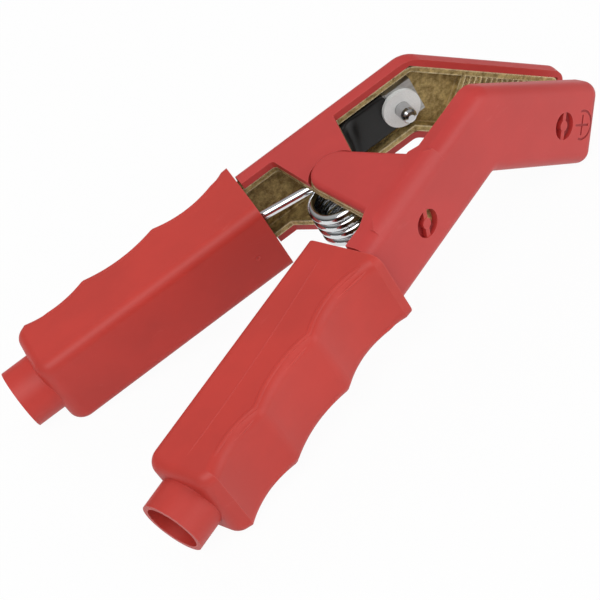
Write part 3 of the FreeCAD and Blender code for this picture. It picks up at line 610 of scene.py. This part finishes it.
# The sign in millimetres: its place along the bent jaw, the ring's radius, shift and share of a circle
MARK_ALONG = 52.0
MARK_RING = 5.1
RING_SHIFT = 0.2
RING_SHARE = math.radians(215.0)
RING_STEPS = 60
# The width of its lines, and the plus from its middle to an arm's end
MARK_LINE = 0.85
MARK_ARM = 3.7
# How far its cutters stand out of the web, and how much deeper the upright goes than the arm
CUTTER_TOP = 1 * MM
UPRIGHT_EXTRA = 0.009 * MM
# Which faces count as sunk: how far from a line's middle, past an arm's end, and between which levels
SIGN_NEAR = MARK_LINE * 0.75
SIGN_PAST_ARM = 0.2
SIGN_LOW, SIGN_HIGH = -0.6, -0.03
MARK_CENTRE = Vector((BEND_AT + MARK_ALONG * math.cos(BEND), -MARK_ALONG * math.sin(BEND)))


def mark_matrix(turn):
    """From the sign's own flat frame to the model's: its normal points out of the web."""
    spot = Matrix.Translation((MARK_CENTRE.x * MM, -WEB_OUT * MM, MARK_CENTRE.y * MM))
    return half_matrix(HALF_B) @ spot @ Matrix.Rotation(BEND + math.radians(turn), 4, "Y") \
        @ Matrix.Rotation(math.radians(90.0), 4, "X")


def on_sign(spot):
    """Whether a point in the sign's flat frame, in millimetres, lies in one of its sunk lines."""
    on_ring = abs(math.hypot(spot.x - RING_SHIFT, spot.y) - MARK_RING) < SIGN_NEAR
    nearer, farther = sorted((abs(spot.x), abs(spot.y)))
    on_arm = nearer < SIGN_NEAR and farther < MARK_ARM + SIGN_PAST_ARM
    return (on_ring or on_arm) and SIGN_LOW < spot.z < SIGN_HIGH


def ring_cutter(depth):
    """The open ring, as an upright strip spun about the ring's middle."""
    clear_selection()
    bpy.ops.mesh.primitive_plane_add(size=1.0, location=(0, 0, 0))
    piece = start_piece("ring")
    high = depth + CUTTER_TOP
    piece.data.transform(Matrix.Translation((RING_SHIFT * MM, 0, 0))
                         @ Matrix.Rotation(-RING_SHARE / 2, 4, "Z")
                         @ Matrix.Translation((MARK_RING * MM, 0, high / 2 - depth))
                         @ Matrix.Rotation(math.radians(90.0), 4, "X")
                         @ Matrix.Diagonal((MARK_LINE * MM, high, 1, 1)))
    edit(piece, "FACE")
    bpy.ops.mesh.select_all(action="SELECT")
    bpy.ops.mesh.spin(steps=RING_STEPS, angle=-RING_SHARE, center=(RING_SHIFT * MM, 0, 0), axis=(0, 0, 1))
    done_editing()
    close_up(piece)
    piece.data.transform(mark_matrix(0.0))
    return piece


def bar_cutter(name, turn, depth):
    """One of the plus's two bars."""
    clear_selection()
    bpy.ops.mesh.primitive_plane_add(size=1.0, location=(0, 0, 0))
    piece = start_piece(name)
    edit(piece, "FACE")
    bpy.ops.mesh.select_all(action="SELECT")
    bpy.ops.transform.resize(value=(2 * MARK_ARM * MM, MARK_LINE * MM, 1))
    bpy.ops.transform.translate(value=(0, 0, -depth))
    bpy.ops.mesh.extrude_region_move(TRANSFORM_OT_translate={"value": (0, 0, depth + CUTTER_TOP)})
    done_editing()
    close_up(piece)
    piece.data.transform(mark_matrix(turn))
    return piece


# The grips in millimetres, as in the source: half their width, their rounding and the three grooves
GRIP_HALF = 15.25
GRIP_ROUND = 4.0
GROOVE_ENDS = ((-29.6, 39.15), (-60.3, 36.75), (-90.2, 36.75), (-115.5, 36.75))
GROOVE_FLOOR = 34.05

# How deep a bead lies in the plastic, as a share of its thickness
BEAD_SINK = 0.60
# The long bead: its ends along the grip, its angle on the rounding, and how it thins out at its ends
LONG_START, LONG_END, LONG_STEPS = -28.6, -115.0, 110
LONG_DEGREES = 21.0
LONG_TAPERS = 14, 10
LONG_THIN = 0.15
# The line in a groove: where it starts past the groove's end, and its share of the groove
INNER_START, INNER_SHARE, INNER_STEPS = 1.0, 0.62, 34
# Its angle on the rounding at its ends, how much it swings out between them, and the swing's lead
INNER_DEGREES, INNER_SWING, INNER_LEAD = 52.0, 15.0, 0.8
# Its thickness as a share of the long bead's, and how it thins out at its ends
INNER_THICK = 0.6
INNER_TAPERS = 4, 2
INNER_THIN = 0.12


def groove_height(x):
    """How far out the grooved side stands at a place along the grip; each groove is a parabola."""
    for (x0, y0), (x1, y1) in zip(GROOVE_ENDS, GROOVE_ENDS[1:]):
        if x1 <= x <= x0:
            t = (x0 - x) / (x0 - x1)
            depth = (y0 + y1) / 2 - GROOVE_FLOOR
            return y0 + (y1 - y0) * t - depth * 4 * t * (1 - t)
    return GROOVE_ENDS[-1][1]


def on_rounding(x, degrees, sink):
    """A point on the rounding between the flat side and the grooves, a little sunk."""
    angle = math.radians(degrees)
    reach = GRIP_ROUND - sink
    return (x, groove_height(x) - GRIP_ROUND + reach * math.sin(angle),
            GRIP_HALF - GRIP_ROUND + reach * math.cos(angle))


class CLAMP_OT_ridges(bpy.types.Operator):
    """Make the wavy beads along the grips' finger grooves"""
    bl_idname = "clamp.ridges"
    bl_label = "Grip ridges"

    def execute(self, context):
        thick = context.scene.clamp_red.ridge
        material = bpy.data.materials["grip_red"]
        for letter, side in (("a", HALF_A), ("b", HALF_B)):
            lines = []
            for hand in (1, -1):
                lines.append(self.long_ridge(side, hand, thick / MM))
                lines += [self.inner_line(side, hand, first[0], last[0], thick / MM)
                          for first, last in zip(GROOVE_ENDS, GROOVE_ENDS[1:])]
            piece = bead("grip_ridges_" + letter, lines, thick)
            place(piece, Matrix.Identity(4), material, "half_" + letter)
        return {"FINISHED"}

    def long_ridge(self, side, hand, thick):
        """The bead that parts the flat side from the rounding, all along the grip."""
        line = []
        for i in range(LONG_STEPS + 1):
            t = i / LONG_STEPS
            along = LONG_START + (LONG_END - LONG_START) * t
            x, y, z = on_rounding(along, LONG_DEGREES, thick * BEAD_SINK)
            ends = min(1.0, t * LONG_TAPERS[0], (1 - t) * LONG_TAPERS[1])
            line.append((in_half(side, x, y, z * hand), max(LONG_THIN, ends)))
        return line

    def inner_line(self, side, hand, first, last, thick):
        """The fainter line in the first part of a groove, nearer to the grooved side."""
        line = []
        for i in range(INNER_STEPS + 1):
            t = i / INNER_STEPS
            along = first - INNER_START + (last - first) * INNER_SHARE * t
            degrees = INNER_DEGREES + INNER_SWING * math.sin(math.pi * t ** INNER_LEAD)
            x, y, z = on_rounding(along, degrees, INNER_THICK * thick * BEAD_SINK)
            ends = INNER_THICK * min(1.0, t * INNER_TAPERS[0], (1 - t) * INNER_TAPERS[1])
            line.append((in_half(side, x, y, z * hand), max(INNER_THIN, ends)))
        return line


# The parting line on grip B's flat side, in millimetres: its ends, height, bow, thickness and tapers
PARTING_START, PARTING_END = -30.0, -116.0
PARTING_LEVEL, PARTING_BOW, PARTING_CURVE = 18.6, 4.4, 1.9
PARTING_THICK, PARTING_SINK, PARTING_STEPS = 0.32, 0.2, 24
PARTING_THIN, PARTING_TAPER = 0.4, 8

# The gate mark: its place on grip A, its radius and height, its rim and the two steps of its dish
GATE_PLACE = (-37.1, 8.12, -2.0)
GATE_RADIUS, GATE_TALL, GATE_RIM = 0.95 * MM, 0.3 * MM, 0.3 * MM
GATE_DISH = 0.15 * MM, 0.1 * MM

# The snap windows: the middle one's place, the other's along the jaw, and how far out their floors lie
MID_WINDOW = (-0.3, -1.2)
JAW_ALONG = 41.7
JAW_WINDOW = (BEND_AT + JAW_ALONG * math.cos(BEND), -JAW_ALONG * math.sin(BEND))
WINDOW_FLOOR = 30.72
# Their liners, and where the middle one is cut off towards the jaw
LINER_RADIUS, LINER_TALL, LINER_RIM, LINER_DISH = 4.9 * MM, 0.9 * MM, 0.5 * MM, 0.4 * MM
LINER_CUT, LINER_CUT_FACING = (1.6 * MM, 0, 0), (0.9, 0.35, 0)


class CLAMP_OT_trim(bpy.types.Operator):
    """Make the parting line, the gate mark and the plastic inside the snap windows, dark red with painted
    shade
    """
    bl_idname = "clamp.trim"
    bl_label = "Small trim"

    def execute(self, context):
        grip = bpy.data.materials["grip_red"]
        self.parting_line(grip)
        self.gate_mark(grip)
        # The window liners' darker red is painted shade in the recesses
        deep = recess_shade_red("recess_shade_red", (0.27, 0.006, 0.008), (0.36, 0.009, 0.011))
        for letter, side in (("a", HALF_A), ("b", HALF_B)):
            for kind, window in (("mid", MID_WINDOW), ("jaw", JAW_WINDOW)):
                self.liner("snap_liner_%s_%s" % (kind, letter), side, window, kind, deep, "half_" + letter)
        return {"FINISHED"}

    def parting_line(self, material):
        line = []
        for i in range(PARTING_STEPS + 1):
            t = i / PARTING_STEPS
            x = PARTING_START + (PARTING_END - PARTING_START) * t
            y = PARTING_LEVEL + PARTING_BOW * math.sin(t * PARTING_CURVE)
            ends = min(1.0, PARTING_THIN + min(t, 1 - t) * PARTING_TAPER)
            line.append((in_half(HALF_B, x, y, GRIP_HALF - PARTING_SINK), ends))
        piece = bead("parting_line_b", [line], PARTING_THICK * MM)
        place(piece, Matrix.Identity(4), material, "half_b")

    def gate_mark(self, material):
        """A small pip with a dished top, where the plastic entered the mould."""
        piece = self.disc("gate_mark_a", corners=24, radius=GATE_RADIUS)
        edit(piece, "FACE")
        bpy.ops.mesh.select_all(action="SELECT")
        bpy.ops.mesh.extrude_region_move(TRANSFORM_OT_translate={"value": (0, 0, GATE_TALL)})
        for step in GATE_DISH:
            bpy.ops.mesh.inset(thickness=GATE_RIM)
            bpy.ops.transform.translate(value=(0, 0, -step))
        done_editing()
        close_up(piece)
        smooth(piece, degrees=30)
        seat = (half_matrix(HALF_A) @ Matrix.Translation(Vector(GATE_PLACE) * MM)
                @ Matrix.Rotation(math.radians(90.0), 4, "X"))
        place(piece, seat, material, "half_a")

    def disc(self, name, corners, radius):
        """A flat disc, as a piece of its own."""
        clear_selection()
        bpy.ops.mesh.primitive_circle_add(vertices=corners, radius=radius, fill_type="NGON",
                                          location=(0, 0, 0))
        return start_piece(name)

    def liner(self, name, side, window, kind, material, body):
        """The dished plastic at the bottom of a window; the middle one is cut off on one side."""
        piece = self.disc(name, corners=40, radius=LINER_RADIUS)
        edit(piece, "FACE")
        bpy.ops.mesh.select_all(action="SELECT")
        bpy.ops.mesh.extrude_region_move(TRANSFORM_OT_translate={"value": (0, 0, LINER_TALL)})
        bpy.ops.mesh.inset(thickness=LINER_RIM)
        bpy.ops.transform.translate(value=(0, 0, -LINER_DISH))
        if kind == "mid":
            bpy.ops.mesh.select_all(action="SELECT")
            bpy.ops.mesh.bisect(plane_co=LINER_CUT, plane_no=LINER_CUT_FACING, clear_outer=True,
                                use_fill=True)
        done_editing()
        close_up(piece)
        smooth(piece, degrees=30)
        x, z = window
        seat = (half_matrix(side) @ Matrix.Translation((x * MM, WINDOW_FLOOR * side * MM, z * MM))
                @ Matrix.Rotation(math.radians(-90.0 * side), 4, "X"))
        place(piece, seat, material, body)


class CLAMP_OT_fasteners(bpy.types.Operator):
    """Finish the pin, studs, washers and lugs"""
    bl_idname = "clamp.fasteners"
    bl_label = "Fasteners"

    def execute(self, context):
        steel = bright_metal("turned_steel", (0.58, 0.58, 0.59), rough=0.17, spread=0.06, grain=0.05)
        zinc, tin = sanded_zinc(), brushed_tin()
        dress("pivot_rivet", steel)
        for letter in "ab":
            dress("washer_" + letter, zinc)
            dress("lug_" + letter, tin)
            dress("stud_" + letter, steel)
        return {"FINISHED"}


class CLAMP_OT_spring(bpy.types.Operator):
    """Make the torsion spring from a merged, smoothed copy of the CAD spring"""
    bl_idname = "clamp.spring"
    bl_label = "Torsion spring"

    def execute(self, context):
        piece = copy_of("torsion_spring", "coil_spring")
        smooth(piece, degrees=50)
        piece.data.materials.clear()
        wire = bright_metal("bright_wire", (0.74, 0.76, 0.77), rough=0.09, spread=0.05, grain=0.02)
        piece.data.materials.append(wire)
        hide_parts("torsion_spring")
        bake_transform(piece)
        return {"FINISHED"}


# The sleeve's steps along its ends, its bends and the stretch between them
END_STEPS, BEND_STEPS, MIDDLE_STEPS = 10, 16, 16
# Its section: the corners' size as a share of the thickness, their steps and the cuts of its long sides
CORNER_SHARE, CORNER_STEPS, SIDE_CUTS = 0.46, 4, 9
# Its relief in millimetres: a fold and a swelling past the crossing, and two rows of wrinkles
FOLD_AT, FOLD_WIDE, FOLD_LEAN = 9.0, 1.7, 0.25
PUFF_AT, PUFF_WIDE, PUFF_TALL = 4.0, 3.0, 0.9
WRINKLES = ((0.12, 1.1, 0.35, 0.0), (0.06, 2.3, -0.6, 1.0))
WRINKLES_TO, WRINKLES_FADE = 12.0, 5.0
# How far in front of the pivot, as a multiple of the crossing, lies the point that the relief faces
FACED_SHARE = 2.6


def hump(at, middle, wide):
    """1 at the middle, and down to almost nothing two widths away."""
    return math.exp(-((at - middle) / wide) ** 2)


class LinkSizes(bpy.types.PropertyGroup):
    wide: bpy.props.FloatProperty(
        name="Width", description="Width of the sleeve", default=16.7 * MM, unit="LENGTH")
    thick: bpy.props.FloatProperty(
        name="Thickness", description="Thickness of the sleeve", default=2.5 * MM, unit="LENGTH")
    bend: bpy.props.FloatProperty(
        name="Bend", description="Radius of its two bends", default=9.5 * MM, unit="LENGTH")
    cross: bpy.props.FloatProperty(
        name="Crossing", description="How far in front of the pivot it crosses", default=11.4 * MM,
        unit="LENGTH")
    reach: bpy.props.FloatProperty(
        name="Reach", description="Where it ends on the lugs", default=32.2 * MM, unit="LENGTH")
    level: bpy.props.FloatProperty(
        name="Level", description="Height of its middle over the pivot", default=27.225 * MM,
        unit="LENGTH")


class CLAMP_OT_link(bpy.types.Operator):
    """Make the sleeved link between the jaws"""
    bl_idname = "clamp.link"
    bl_label = "Sleeved link"

    def execute(self, context):
        sizes = context.scene.clamp_link
        start, first, centre, turn = self.route(sizes)
        along = first - start
        piece = self.section(sizes, start, along)
        self.run(piece, along, END_STEPS)
        self.arc(piece, centre, turn, BEND_STEPS)
        self.run(piece, Vector((0, -2 * abs(centre.y), 0)), MIDDLE_STEPS)
        self.arc(piece, Vector((centre.x, -centre.y, 0)), turn, BEND_STEPS)
        self.run(piece, Vector((-along.x, along.y, 0)), END_STEPS)
        self.cap_ends(piece)
        close_up(piece)
        self.crease(piece, sizes)
        pick(piece)
        soften = piece.modifiers.new("soften", "SUBSURF")
        soften.levels = soften.render_levels = 1
        bpy.ops.object.modifier_apply(modifier=soften.name)
        smooth(piece, degrees=60)
        piece.data.transform(clamp_matrix())
        piece.data.materials.append(shrunk_sleeve())
        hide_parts("link_sleeve", "link_braid")
        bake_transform(piece)
        return {"FINISHED"}

    def route(self, sizes):
        """On half A: where the sleeve starts, where its bend starts, the bend's centre and turn."""
        turn = Matrix.Rotation(-SPLAY, 3, "Z")
        start = turn @ Vector((sizes.reach, sizes.level, 0))
        back = (turn @ Vector((-1, 0, 0))).normalized()
        corner = start + back * ((start.x - sizes.cross) / -back.x)
        inwards, down = -back, Vector((0, -1, 0))
        between = inwards.angle(down)
        first = corner + inwards * (sizes.bend / math.tan(between / 2))
        centre = corner + (inwards + down).normalized() * (sizes.bend / math.sin(between / 2))
        return start, first, centre, math.pi - between

    def section(self, sizes, start, along):
        """A flat rounded outline, upright at the sleeve's end on half A."""
        clear_selection()
        bpy.ops.mesh.primitive_plane_add(size=1.0, location=(0, 0, 0))
        piece = start_piece("link_sleeve_skin")
        edit(piece, "EDGE")
        bpy.ops.mesh.select_all(action="SELECT")
        bpy.ops.transform.resize(value=(sizes.thick, sizes.wide, 1))
        bpy.ops.mesh.bevel(offset=sizes.thick * CORNER_SHARE, segments=CORNER_STEPS, affect="VERTICES")
        bpy.ops.mesh.delete(type="ONLY_FACE")
        done_editing()
        select_edges(piece, longer_than=sizes.wide * 0.5)
        edit(piece, "EDGE")
        bpy.ops.mesh.subdivide(number_cuts=SIDE_CUTS)
        done_editing()
        heading = along.normalized()
        up = Vector((0, 0, 1))
        side = up.cross(heading)
        seat = Matrix((side, up, heading)).transposed().to_4x4()
        piece.data.transform(Matrix.Translation(start) @ seat)
        for edge in piece.data.edges:
            edge.select = True
        for vertex in piece.data.vertices:
            vertex.select = True
        return piece

    def run(self, piece, move, steps):
        """Carry the selected end straight on."""
        edit(piece, "EDGE")
        for _ in range(steps):
            bpy.ops.mesh.extrude_region_move(TRANSFORM_OT_translate={"value": move / steps})
        done_editing()

    def arc(self, piece, centre, turn, steps):
        """Carry the selected end round a bend; a spin's own angle counts the other way."""
        edit(piece, "EDGE")
        bpy.ops.mesh.spin(steps=steps, angle=-turn, center=centre, axis=(0, 0, 1))
        done_editing()

    def cap_ends(self, piece):
        edit(piece, "EDGE")
        bpy.ops.mesh.select_all(action="DESELECT")
        bpy.ops.mesh.select_non_manifold(extend=False)
        bpy.ops.mesh.fill_holes(sides=0)
        done_editing()

    def crease(self, piece, sizes):
        """A fold by each bend and soft wrinkles, on the side that faces the space between the jaws."""
        faced = Vector((sizes.cross * FACED_SHARE, 0, 0))
        for vertex in piece.data.vertices:
            spot = vertex.co
            if vertex.normal.dot(faced - spot) <= 0:
                continue
            along, across = (spot.x - sizes.cross) / MM, spot.z / MM
            edge = 1 - min(1.0, abs(spot.z) / (sizes.wide * 0.5)) ** 4
            fold = hump(along - across * FOLD_LEAN, FOLD_AT, FOLD_WIDE)
            puff = hump(along, PUFF_AT, PUFF_WIDE) * PUFF_TALL
            wave = sum(tall * math.sin(along * pitch + across * lean + shift)
                       for tall, pitch, lean, shift in WRINKLES)
            fade = math.exp(-max(0.0, along - WRINKLES_TO) / WRINKLES_FADE)
            vertex.co += vertex.normal * ((puff - fold) * edge + wave * fade) * MM


class CLAMP_PT_panel(bpy.types.Panel):
    """Lists the clamp's pieces"""
    bl_label = "Battery clamp"
    bl_idname = "CLAMP_PT_panel"
    bl_space_type = "VIEW_3D"
    bl_region_type = "UI"
    bl_category = "Clamp"

    def draw(self, context):
        for operator in OPERATORS:
            self.layout.operator(operator.bl_idname)


OPERATORS = (CLAMP_OT_stage, CLAMP_OT_brass, CLAMP_OT_mouldings, CLAMP_OT_ridges, CLAMP_OT_trim,
             CLAMP_OT_fasteners, CLAMP_OT_spring, CLAMP_OT_link)
SETTINGS = {"clamp_stage": StageSizes, "clamp_red": RedPlastic, "clamp_link": LinkSizes}
CLASSES = tuple(SETTINGS.values()) + OPERATORS + (CLAMP_PT_panel,)


def register():
    for one in CLASSES:
        bpy.utils.register_class(one)
    for name, group in SETTINGS.items():
        setattr(bpy.types.Scene, name, bpy.props.PointerProperty(type=group))


def unregister():
    for name in SETTINGS:
        delattr(bpy.types.Scene, name)
    for one in reversed(CLASSES):
        bpy.utils.unregister_class(one)


def main():
    register()
    for name in ("stage", "brass", "mouldings", "ridges", "trim", "fasteners", "spring", "link"):
        getattr(bpy.ops.clamp, name)()


if __name__ == "__main__":
    main()
